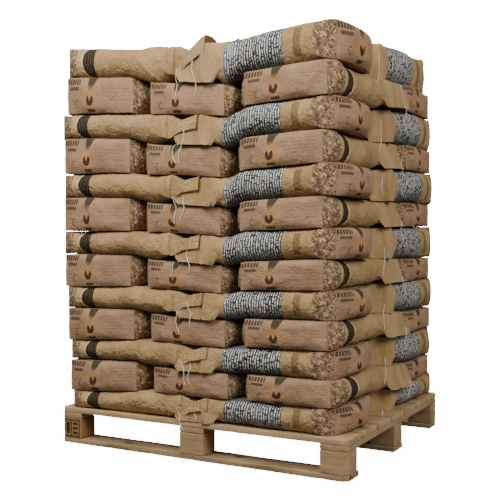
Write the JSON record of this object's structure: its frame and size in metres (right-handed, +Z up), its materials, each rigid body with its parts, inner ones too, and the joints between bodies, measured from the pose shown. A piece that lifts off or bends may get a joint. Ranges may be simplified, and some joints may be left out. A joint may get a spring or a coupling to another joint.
{
  "type": "pallet of sacks",
  "caption": "Nine-block wooden pallet stacked with cross-laid layers of filled paper sacks, rounded sides and flat block bottoms outwards.",
  "frame": {"origin": "on the floor, under the middle of the pallet", "axes": "+Z up, +X along the pallet's longer side, -Y the front, where the lowest layer's lengthwise sacks lie"},
  "size_m": [1.2, 1, 1.5001],
  "materials": {
    "kraft_paper": "matt brown kraft paper, printed",
    "deck_wood": "sawn softwood",
    "stringer_wood": "sawn softwood",
    "block_wood": "sawn softwood",
    "bottom_wood": "sawn softwood, weathered"
  },
  "bodies": {
    "root": {"deck_board_1": "deck_wood", "deck_board_2": "deck_wood", "deck_board_3": "deck_wood", "deck_board_4": "deck_wood", "deck_board_5": "deck_wood", "deck_board_6": "deck_wood", "deck_board_7": "deck_wood", "stringer_board_left": "stringer_wood", "stringer_board_middle": "stringer_wood", "stringer_board_right": "stringer_wood", "block_front_left": "block_wood", "block_front_middle": "block_wood", "block_front_right": "block_wood", "block_middle_left": "block_wood", "block_middle_middle": "block_wood", "block_middle_right": "block_wood", "block_back_left": "block_wood", "block_back_middle": "block_wood", "block_back_right": "block_wood", "bottom_board_front": "bottom_wood", "bottom_board_middle": "bottom_wood", "bottom_board_back": "bottom_wood", "sack_layer_01": "kraft_paper", "sack_layer_02": "kraft_paper", "sack_layer_03": "kraft_paper", "sack_layer_04": "kraft_paper", "sack_layer_05": "kraft_paper", "sack_layer_06": "kraft_paper", "sack_layer_07": "kraft_paper", "sack_layer_08": "kraft_paper", "sack_layer_09": "kraft_paper", "sack_layer_10": "kraft_paper", "sack_layer_11": "kraft_paper", "sack_layer_12": "kraft_paper", "sack_layer_13": "kraft_paper"}
  },
  "joints": []
}
